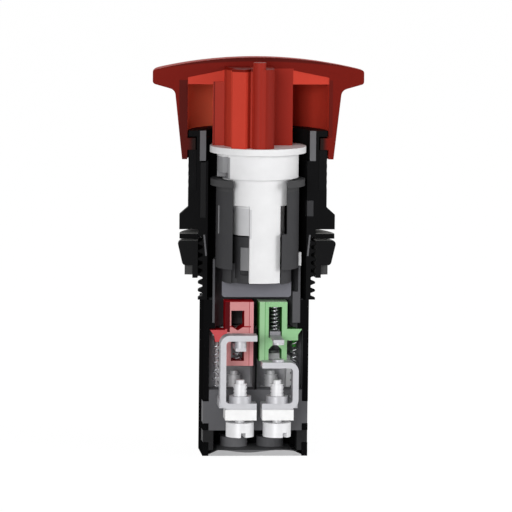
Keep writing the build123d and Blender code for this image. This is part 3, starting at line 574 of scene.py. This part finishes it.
def stem_shading_mark(tones):
    """Painted light and shade in upright stripes on the stem, on what stands before the cut
    plane.
    """
    def mark(made, across, depth, _):
        ahead = made.math("LESS_THAN", depth, STEM_FRONT)
        stripes = made.add("ShaderNodeValToRGB")
        stripes.color_ramp.interpolation = "CONSTANT"
        points = stripes.color_ramp.elements
        for start, _ in STEM_SHADING_STRIPES[2:]:
            points.new(start)
        for point, (start, name) in zip(points, STEM_SHADING_STRIPES):
            point.position = start
            point.color = linear(getattr(tones, name))
        share = made.math("MULTIPLY_ADD", across, 1 / STEM_WIDTH, 0.5)
        made.link(share, stripes.inputs["Fac"])
        return ahead, stripes.outputs["Color"]
    return mark


def lug_shade_mark(tone, inner, outer, low, high, reach=0.0006):
    """Painted shade on the cut of both lugs of the head between two heights. It grows from
    nothing at the outer distance from X = 0 to full at the inner one, and ends a reach further
    in."""
    def mark(made, across, _, height):
        side = made.math("ABSOLUTE", across)
        share = made.math("MULTIPLY", made.fade(side, outer, inner),
                          made.math("GREATER_THAN", side, inner - reach))
        return made.math("MULTIPLY", made.within(height, low, high), share), linear(tone)
    return mark


def wave_mark(tone, level, rise, period, crest):
    """A mark above a level plus a rise times the cosine of X, whose crest and period are
    given."""
    def mark(made, across, _, height):
        turn = made.math("MULTIPLY", made.math("SUBTRACT", across, crest),
                         2 * math.pi / period)
        wave = made.math("MULTIPLY", made.math("COSINE", turn), rise)
        above = made.math("SUBTRACT", made.math("SUBTRACT", height, wave), level)
        return made.math("GREATER_THAN", above, 0.0), linear(tone)
    return mark


def finish_nodes(material, *names):
    """Give CAD nodes one material in place of their packed ones."""
    for name in names:
        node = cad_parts[name]
        node.data.materials.clear()
        node.data.materials.append(material)


def new_object(name, data):
    """Put a mesh, lamp or camera into the scene as an object at the origin."""
    item = bpy.data.objects.new(name, data)
    bpy.context.scene.collection.objects.link(item)
    return item


def add_piece(name, points, faces, material, body, node):
    """Make a mesh piece at the origin that rides a body and stands for a CAD node."""
    mesh = bpy.data.meshes.new(name)
    mesh.from_pydata(points, [], faces)
    mesh.update()
    build = bmesh.new()
    build.from_mesh(mesh)
    bmesh.ops.recalc_face_normals(build, faces=build.faces)
    build.to_mesh(mesh)
    build.free()
    for polygon in mesh.polygons:
        polygon.use_smooth = len(polygon.vertices) == 4
    mesh.materials.append(material)
    piece = new_object(name, mesh)
    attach(piece, body)
    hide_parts(node)
    return piece


def grid_faces(rows, columns):
    """Quads of a grid that closes round its columns, and one face over each open end."""
    row, column = np.meshgrid(np.arange(rows - 1), np.arange(columns), indexing="ij")
    beside = (column + 1) % columns
    quads = np.stack([row * columns + column, row * columns + beside,
                      (row + 1) * columns + beside, (row + 1) * columns + column], axis=-1)
    first = list(range(columns))
    last = list(range((rows - 1) * columns, rows * columns))
    return quads.reshape(-1, 4).tolist() + [first[::-1], last]


def coil_points(centre, radius, wire, bottom, top, turns, sides=10, steps=28):
    """A circle of the wire's radius carried along a helix of the coil's radius about centre.
    The helix climbs slowly over its first and last turn, so that the ends are closed, and at
    an even pitch between them."""
    closing = 1.2
    slow, rest = 0.32, 0.68
    along = np.linspace(0.0, 1.0, int(turns * steps) + 1)
    angle = 2 * np.pi * turns * along
    edge = np.clip(np.minimum(along, 1 - along) * turns, 0.0, closing) / closing
    rate = slow + rest * edge * edge * (3 - 2 * edge)
    climb = np.concatenate([[0.0], np.cumsum((rate[1:] + rate[:-1]) / 2)])
    height = bottom + wire + (top - bottom - 2 * wire) * climb / climb[-1]
    outward = np.stack([np.cos(angle), np.sin(angle), np.zeros_like(angle)], axis=1)
    path = np.array([*centre, 0.0]) + radius * outward
    path[:, 2] = height
    tangent = np.gradient(path, axis=0)
    tangent /= np.linalg.norm(tangent, axis=1, keepdims=True)
    across = np.cross(tangent, outward)
    turn = np.linspace(0.0, 2 * np.pi, sides, endpoint=False)
    ring = (np.cos(turn)[None, :, None] * outward[:, None, :]
            + np.sin(turn)[None, :, None] * across[:, None, :])
    points = path[:, None, :] + wire * ring
    return points.reshape(-1, 3), len(along), sides


def half_ring_points(profile, steps=96):
    """A closed profile of (radius, height) pairs turned through half a circle about the push
    axis, from +X through the kept rear half to -X."""
    angle = np.linspace(0.0, np.pi, steps)
    radius, height = np.array(profile).T
    points = np.stack([
        np.cos(angle)[:, None] * radius[None, :],
        np.sin(angle)[:, None] * radius[None, :],
        np.broadcast_to(height, (steps, len(height))),
    ], axis=-1)
    return points.reshape(-1, 3), steps, len(height)


class PUSHBUTTON_OT_head(Operator):
    """Finish the mushroom head and the latch sleeve"""

    bl_idname = "pushbutton.head"
    bl_label = "Head and sleeve"

    def execute(self, context):
        tones = context.scene.button_head
        red = plastic(
            "cap_red", tones.cap, cut=tones.cap_cut, roughness=0.45, gloss=0.08,
            marks=(
                *zone_marks(tones, SKIRT_LIGHT_AND_SHADE_ZONES, bore_mark),
                stem_shading_mark(tones),
                *zone_marks(tones, STEM_TOP_ZONES),
            ),
            cut_marks=(
                *zone_marks(tones, HEAD_CUT_SHADING_ZONES),
                dome_shade_mark(tones.dome, apex=0.0326, radius=0.129, depth=0.00075),
                lug_shade_mark(tones.lug, inner=0.0122, outer=0.0134, low=0.0150, high=0.0174),
            ),
        )
        white = plastic(
            "sleeve_white_plastic", tones.sleeve, roughness=0.5, grain=0.12, gloss=0.06,
            marks=zone_marks(tones, SLEEVE_SHADE_ZONES),
        )
        finish_nodes(red, "mushroom_head")
        finish_nodes(white, "latch_sleeve", "travel_stop")
        return {"FINISHED"}


class PUSHBUTTON_OT_body(Operator):
    """Finish the body tube, barrel, seals and nut"""

    bl_idname = "pushbutton.body"
    bl_label = "Body and barrel"

    def execute(self, context):
        tones = context.scene.button_body
        black = plastic("body_plastic", tones.body, cut=tones.body_cut, gloss=0.03)
        block = plastic("block_plastic", tones.body, cut=tones.body_cut, gloss=0.0,
                        marks=zone_marks(tones, BLOCK_LIGHT_ZONES))
        nut = plastic("nut_plastic", tones.nut, cut=tones.body_cut, gloss=0.06,
                      marks=zone_marks(tones, NUT_TOP_LIGHT_ZONES))
        barrel = plastic("barrel_plastic", tones.barrel, roughness=0.55,
                         marks=zone_marks(tones, BARREL_RIM_LIGHT_ZONES))
        seal = plastic("seal_rubber", tones.body, cut=tones.seal, roughness=0.7, gloss=0.05)
        gasket = plastic("gasket_rubber", tones.gasket, cut=tones.body_cut, roughness=0.8,
                         gloss=0.03, marks=zone_marks(tones, GASKET_TOP_LIGHT_ZONES))
        finish_nodes(black, "body_tube")
        finish_nodes(block, "block_housing")
        finish_nodes(nut, "locking_nut")
        finish_nodes(barrel, "latch_barrel")
        finish_nodes(seal, "lip_seal")
        finish_nodes(gasket, "panel_gasket")
        finish_nodes(plastic("plate_plastic", tones.plate, roughness=0.6), "pusher_plate")
        finish_nodes(plastic("clip_plastic", tones.seal, gloss=0.05), "clip_ring")
        finish_nodes(plastic("pawl_plastic", tones.pawl), "latch_pawl")
        finish_nodes(plastic("lock_plastic", tones.lock, gloss=0.05), "lock_bar")
        finish_nodes(plastic("key_plastic", tones.key, gloss=0.05), "locating_key")
        soft = plastic("gaiter_rubber", tones.body, roughness=0.8, gloss=0.05)
        self.make_gaiter(soft, tones.ridge)
        return {"FINISHED"}

    def make_gaiter(self, rubber, ridge):
        """The soft ring under the head's lug. Its outer radius is the CAD ring's less the
        ridge's depth times half of one minus the cosine of the height's share of all turns."""
        low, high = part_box("dust_gaiter")
        outer = high.x
        inner = outer - GAITER_WALL
        height = np.linspace(low.z, high.z, GAITER_STEPS)
        share = (height - low.z) / (high.z - low.z)
        wall = outer - ridge * (0.5 - 0.5 * np.cos(2 * np.pi * GAITER_RIDGES * share))
        profile = [(inner, low.z), *zip(wall, height), (inner, high.z)]
        points, rows, columns = half_ring_points(profile)
        piece = add_piece("gaiter", points, grid_faces(rows, columns), rubber, "housing",
                          "dust_gaiter")
        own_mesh(piece)


class PUSHBUTTON_OT_contacts(Operator):
    """Finish the plungers, carrier, cover and terminals"""

    bl_idname = "pushbutton.contacts"
    bl_label = "Contact block"

    def execute(self, context):
        tones = context.scene.button_contacts
        closed = plastic(
            "closed_contact_red", tones.closed, cut=tones.closed_cut, gloss=0.05,
            marks=zone_marks(tones, CLOSED_TOP_LIGHT_ZONES),
            cut_marks=zone_marks(tones, CLOSED_CUT_ZONES),
        )
        opened = plastic(
            "open_contact_green", tones.opened, cut=tones.opened_cut, gloss=0.05,
            marks=zone_marks(tones, OPENED_TOP_LIGHT_ZONES),
            cut_marks=zone_marks(tones, OPENED_CUT_ZONES),
        )
        carrier = plastic("carrier_plastic", tones.carrier, gloss=0.06,
                          marks=zone_marks(tones, CARRIER_ZONES))
        wave = wave_mark(tones.guide, level=-0.04242, rise=0.00024, period=0.012, crest=0.0047)
        cover = plastic("cover_plastic", tones.guide, cut=tones.cover, cut_marks=(wave,))
        finish_nodes(closed, "closed_plunger")
        finish_nodes(opened, "open_plunger")
        finish_nodes(carrier, "terminal_carrier")
        finish_nodes(cover, "base_cover")
        finish_nodes(plastic("tube_plastic", tones.tube, gloss=0.06), "guide_tube")
        finish_nodes(plastic("holder_plastic", tones.holder), "spring_holder")
        finish_nodes(plastic("guide_plastic", tones.funnel, gloss=0.05), "screw_guides")
        strip = metal("terminal_strip", tones.strip, roughness=0.38, metallic=0.45)
        bright = metal("bright_steel", tones.screw, roughness=0.35, metallic=0.2)
        square = metal("washer_steel", tones.washer, roughness=0.4, metallic=0.1)
        # One rougher copy of the steel for the rear pieces, its tone painted light against the
        # shade at the back
        rear_lit_steel = metal("dull_steel", tones.rear_lit_metal, roughness=0.45, metallic=0.2)
        for pole in ("closed", "open"):
            for place, plate, steel, clamp in (("front", strip, bright, square),
                                               ("rear", rear_lit_steel, rear_lit_steel, rear_lit_steel)):
                finish_nodes(plate, f"{pole}_{place}_bracket")
                finish_nodes(steel, f"{pole}_{place}_screw")
                finish_nodes(clamp, f"{pole}_{place}_washer")
        finish_nodes(strip, "closed_bridge", "open_bridge", "fixed_contacts")
        return {"FINISHED"}


class PUSHBUTTON_OT_springs(Operator):
    """Wind the springs with closed ends in place of the CAD springs"""

    bl_idname = "pushbutton.springs"
    bl_label = "Springs"

    def execute(self, context):
        tones = context.scene.button_contacts
        steel = metal("spring_wire", tones.wire, roughness=0.25, metallic=0.9)
        lock = metal("lock_steel", tones.lock_wire, roughness=0.5, metallic=0.5)
        finish_nodes(steel, "trip_spring")
        finish_nodes(lock, "lock_wire")
        sizes = context.scene.button_springs
        back = (sizes.return_radius, sizes.return_wire, sizes.return_turns)
        press = (sizes.contact_radius, sizes.contact_wire, sizes.contact_turns)
        short = (sizes.contact_radius, sizes.contact_wire, sizes.contact_turns / 2)
        for node, body, joint, keep, from_top, (radius, wire, turns) in (
            ("closed_return_spring", "housing", "closed_contact_slide", 0.654, False, back),
            ("open_return_spring", "housing", "open_contact_slide", 0.617, False, back),
            ("open_contact_spring", "open_contact", "bridge_overtravel", 0.825, True, press),
            ("closed_contact_spring", "closed_contact", None, 1.0, False, short),
        ):
            low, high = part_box(node)
            centre = ((low.x + high.x) / 2, (low.y + high.y) / 2)
            points, rows, columns = coil_points(centre, radius, wire, low.z, high.z, turns)
            piece = add_piece(f"{node}_coil", points, grid_faces(rows, columns), steel, body,
                              node)
            if joint:
                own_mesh(piece)
        return {"FINISHED"}


def white_to_camera(tree):
    """One where a camera, transmission or glossy ray asks, and nought for all other light."""
    rays = tree.nodes.new("ShaderNodeLightPath").outputs
    seen = rays["Is Camera Ray"]
    for name in ("Is Transmission Ray", "Is Glossy Ray"):
        either = tree.nodes.new("ShaderNodeMath")
        either.operation = "MAXIMUM"
        tree.links.new(seen, either.inputs[0])
        tree.links.new(rays[name], either.inputs[1])
        seen = either.outputs[0]
    return seen


class PUSHBUTTON_OT_stage(Operator):
    """Set the floor, the lamps, the world and the camera"""

    bl_idname = "pushbutton.stage"
    bl_label = "Stage"

    def execute(self, context):
        stage = context.scene.button_stage
        self.make_floor(stage)
        self.make_world(context)
        self.make_lamps(stage)
        self.make_camera(context, stage)
        context.scene.view_settings.view_transform = "Standard"
        return {"FINISHED"}

    def make_floor(self, stage):
        """A wide square under the object, nearly white to the camera, that keeps a shadow."""
        height = cad_box[0].z
        corners = [(FLOOR_HALF * x, FLOOR_HALF * y, height)
                   for x, y in ((-1, -1), (1, -1), (1, 1), (-1, 1))]
        mesh = bpy.data.meshes.new("floor")
        mesh.from_pydata(corners, [], [(0, 1, 2, 3)])
        floor = new_object("floor", mesh)
        made = Nodes("floor_white")
        base = linear(stage.floor)
        tone = made.mix(made.noise(FLOOR_SCALE), shaded(base, FLOOR_SHARE), base)
        made.link(tone, made.shader.inputs["Base Color"])
        made.shader.inputs["Roughness"].default_value = 0.9
        glow = made.add("ShaderNodeEmission")
        glow.inputs["Strength"].default_value = FLOOR_GLOW
        mix = made.add("ShaderNodeMixShader")
        made.link(made.math("MULTIPLY", white_to_camera(made.tree), GLOW_SHARE), mix.inputs[0])
        made.link(made.shader.outputs[0], mix.inputs[1])
        made.link(glow.outputs[0], mix.inputs[2])
        made.link(mix.outputs[0], made.tree.nodes["Material Output"].inputs["Surface"])
        mesh.materials.append(made.material)

    def make_world(self, context):
        """An even dim sky that shows as plain white to the camera."""
        world = bpy.data.worlds.new("pale_sky")
        world.use_nodes = True
        context.scene.world = world
        tree = world.node_tree
        sky = tree.nodes["Background"]
        sky.inputs["Color"].default_value = (1.0, 1.0, 1.0, 1.0)
        sky.inputs["Strength"].default_value = SKY_STRENGTH
        white = tree.nodes.new("ShaderNodeBackground")
        white.inputs["Strength"].default_value = 1.0
        mix = tree.nodes.new("ShaderNodeMixShader")
        tree.links.new(white_to_camera(tree), mix.inputs[0])
        tree.links.new(sky.outputs[0], mix.inputs[1])
        tree.links.new(white.outputs[0], mix.inputs[2])
        tree.links.new(mix.outputs[0], tree.nodes["World Output"].inputs["Surface"])

    def make_lamps(self, stage):
        """Two large soft lamps that face the object, the key from the front left and a
        slightly weaker one that fills from the right."""
        for name, place, power in LAMPS:
            lamp = bpy.data.lights.new(name, "AREA")
            lamp.size = LAMP_WIDTH
            lamp.energy = power * stage.lamp
            holder = new_object(name, lamp)
            holder.location = place
            aim = Vector((0, 0, stage.aim_height)) - Vector(place)
            holder.rotation_euler = aim.to_track_quat("-Z", "Y").to_euler()

    def make_camera(self, context, stage):
        """A long lens that looks at the push axis from the front, a little left and above."""
        camera = bpy.data.cameras.new("camera")
        camera.lens = stage.lens
        camera.sensor_width = SENSOR_WIDTH
        camera.clip_start = CLIP_START
        camera.clip_end = CLIP_END
        holder = new_object("camera", camera)
        reach = stage.frame_width * stage.lens / SENSOR_WIDTH
        side = math.sin(stage.azimuth) * math.cos(stage.elevation)
        front = -math.cos(stage.azimuth) * math.cos(stage.elevation)
        back = Vector((side, front, math.sin(stage.elevation)))
        aim = Vector((stage.aim_side, 0, stage.aim_height))
        turn = (-back).to_track_quat("-Z", "Y").to_matrix() @ Matrix.Rotation(stage.roll, 3, "Z")
        holder.matrix_world = Matrix.Translation(aim + back * reach) @ turn.to_4x4()
        context.scene.camera = holder


class PUSHBUTTON_PT_panel(Panel):
    """Lists the steps that dress the pushbutton"""

    bl_idname = "PUSHBUTTON_PT_panel"
    bl_label = "Pushbutton"
    bl_space_type = "VIEW_3D"
    bl_region_type = "UI"
    bl_category = "Pushbutton"

    def draw(self, context):
        for key, group in SETTINGS.items():
            box = self.layout.box()
            box.label(text=group.__doc__)
            for name in group.__annotations__:
                box.prop(getattr(context.scene, key), name)
        for step in STEPS:
            self.layout.operator(step.bl_idname)


STEPS = (
    PUSHBUTTON_OT_head,
    PUSHBUTTON_OT_body,
    PUSHBUTTON_OT_contacts,
    PUSHBUTTON_OT_springs,
    PUSHBUTTON_OT_stage,
)
CLASSES = (*SETTINGS.values(), *STEPS, PUSHBUTTON_PT_panel)


def register():
    """Register the classes and hang the property groups on the scene."""
    for item in CLASSES:
        bpy.utils.register_class(item)
    for key, group in SETTINGS.items():
        setattr(bpy.types.Scene, key, PointerProperty(type=group))


def unregister():
    """Undo register."""
    for key in SETTINGS:
        delattr(bpy.types.Scene, key)
    for item in reversed(CLASSES):
        bpy.utils.unregister_class(item)


def main():
    """Run the steps in order."""
    register()
    bpy.ops.pushbutton.head()
    bpy.ops.pushbutton.body()
    bpy.ops.pushbutton.contacts()
    bpy.ops.pushbutton.springs()
    bpy.ops.pushbutton.stage()


if __name__ == "__main__":
    main()
